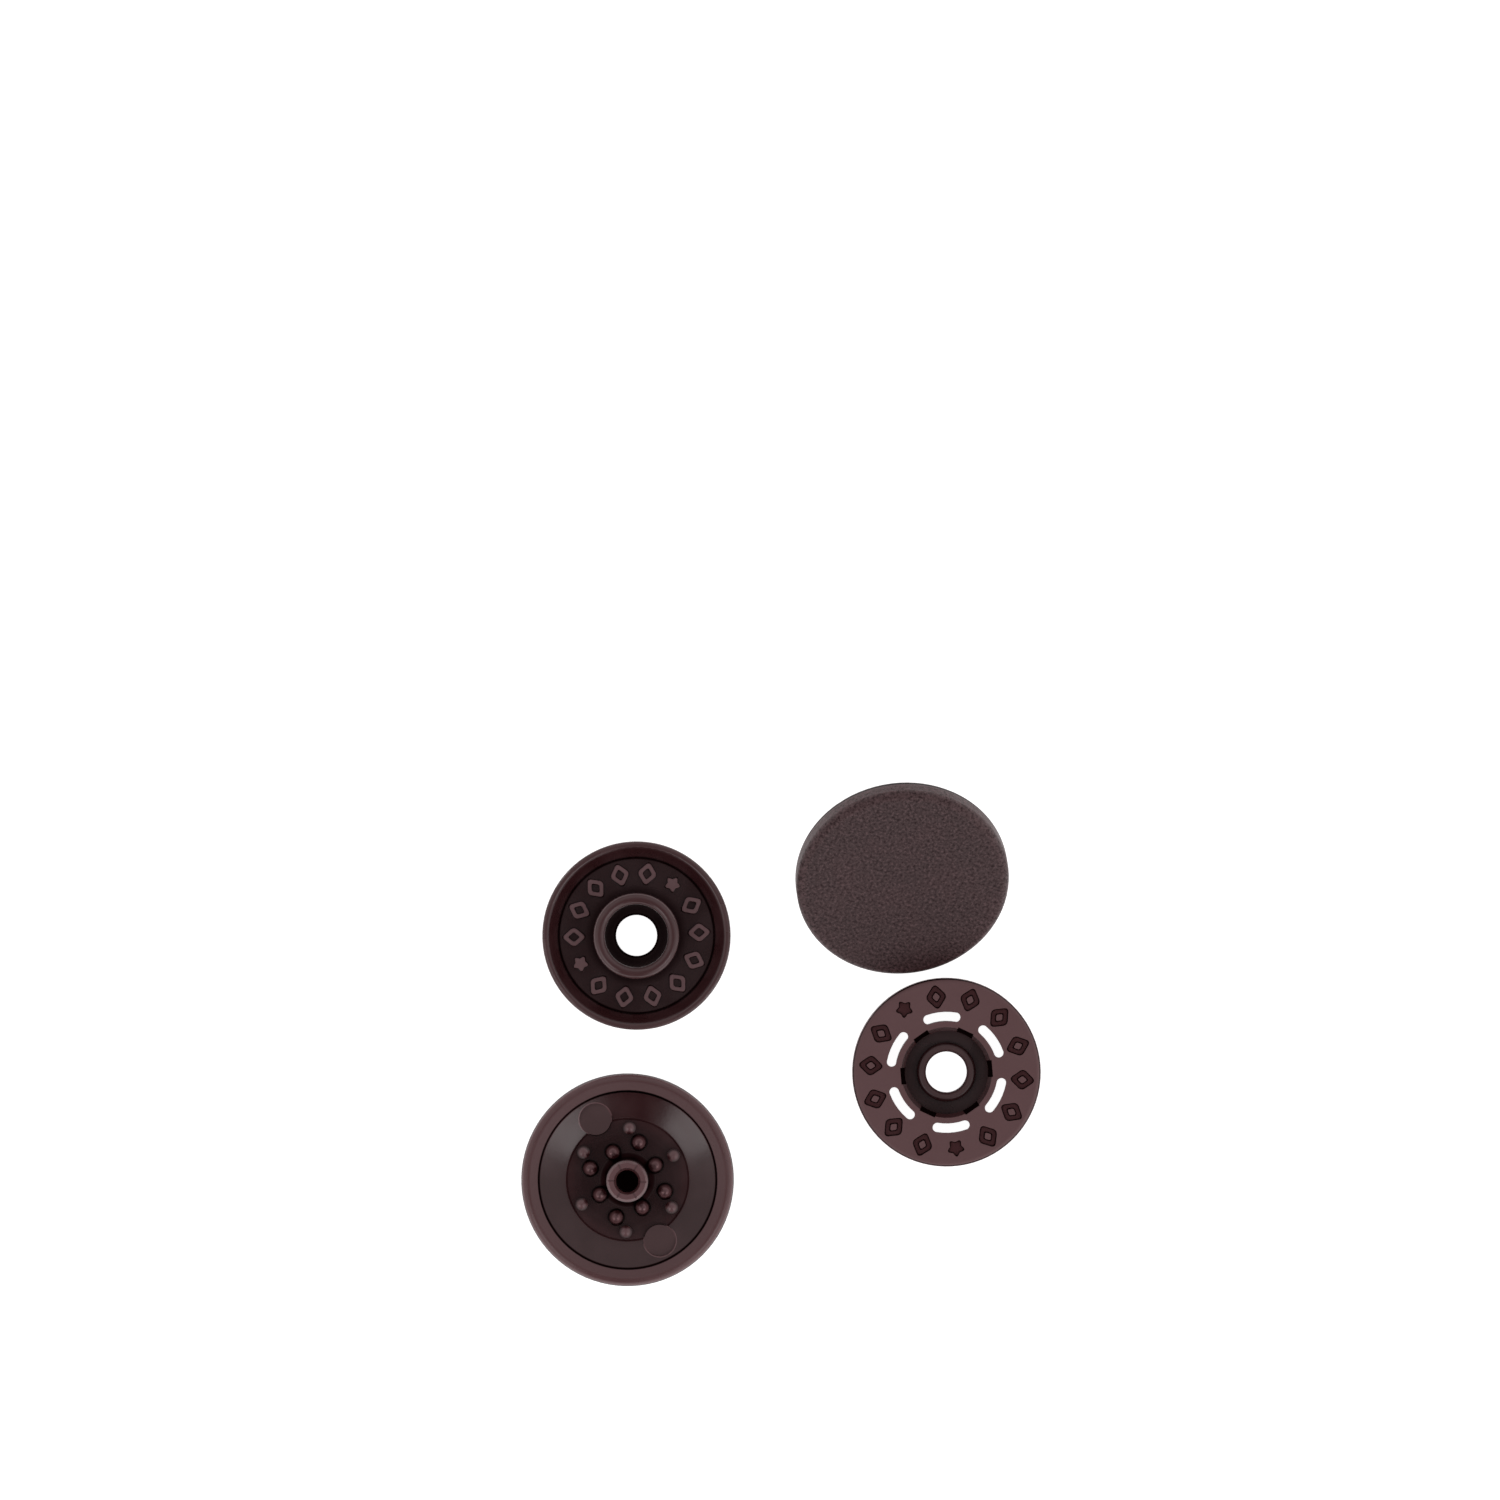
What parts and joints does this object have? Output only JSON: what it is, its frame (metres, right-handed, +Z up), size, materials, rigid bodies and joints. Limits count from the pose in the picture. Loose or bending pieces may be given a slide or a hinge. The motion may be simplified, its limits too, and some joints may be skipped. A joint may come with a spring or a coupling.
{
  "type": "snap fastener",
  "caption": "Plastic press-on snap fastener laid out loose: round caps with hollow posts, a slotted socket and a stud whose tubular boss snaps into it.",
  "frame": {"origin": "middle of the common outline of the loose pieces, on the table they lie on", "axes": "+Z up from the table; +X to the right and +Y to the top of the picture, which looks straight down"},
  "size_m": [0.0342, 0.0332, 0.0084],
  "materials": {
    "brown_plastic": "dark brown moulded plastic, fine matte grain with polished inner zones"
  },
  "bodies": {
    "root": {"outer_cap": "brown_plastic", "inner_cap": "brown_plastic", "socket": "brown_plastic", "stud": "brown_plastic"}
  },
  "joints": []
}
